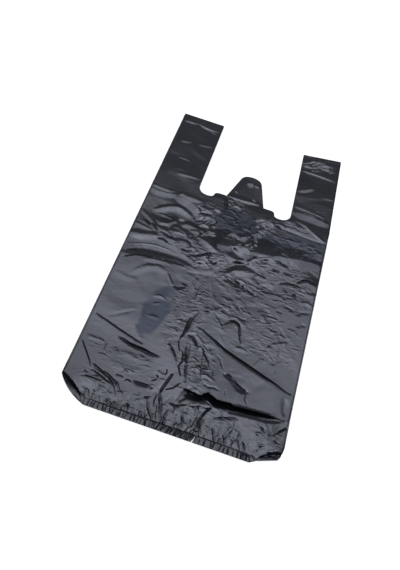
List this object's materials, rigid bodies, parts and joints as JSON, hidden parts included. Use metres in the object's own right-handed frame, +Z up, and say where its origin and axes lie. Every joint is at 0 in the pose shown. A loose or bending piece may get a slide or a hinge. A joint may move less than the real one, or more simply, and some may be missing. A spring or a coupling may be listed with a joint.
{
  "type": "plastic carrier bag",
  "caption": "Thin film carrier bag of the vest kind with cut-out handles, a centre tab, side gussets and a welded bottom, lying empty, flat and creased.",
  "frame": {"origin": "under the middle of the bag's flat outline, on the surface that it lies on", "axes": "+X across the bag to its right side, +Y from the welded bottom to the handle tops, +Z up out of the front panel"},
  "size_m": [0.29, 0.536, 0.0128],
  "materials": {
    "film": "glossy, creased black film"
  },
  "bodies": {
    "root": {"carrier_bag": "film"}
  },
  "joints": []
}
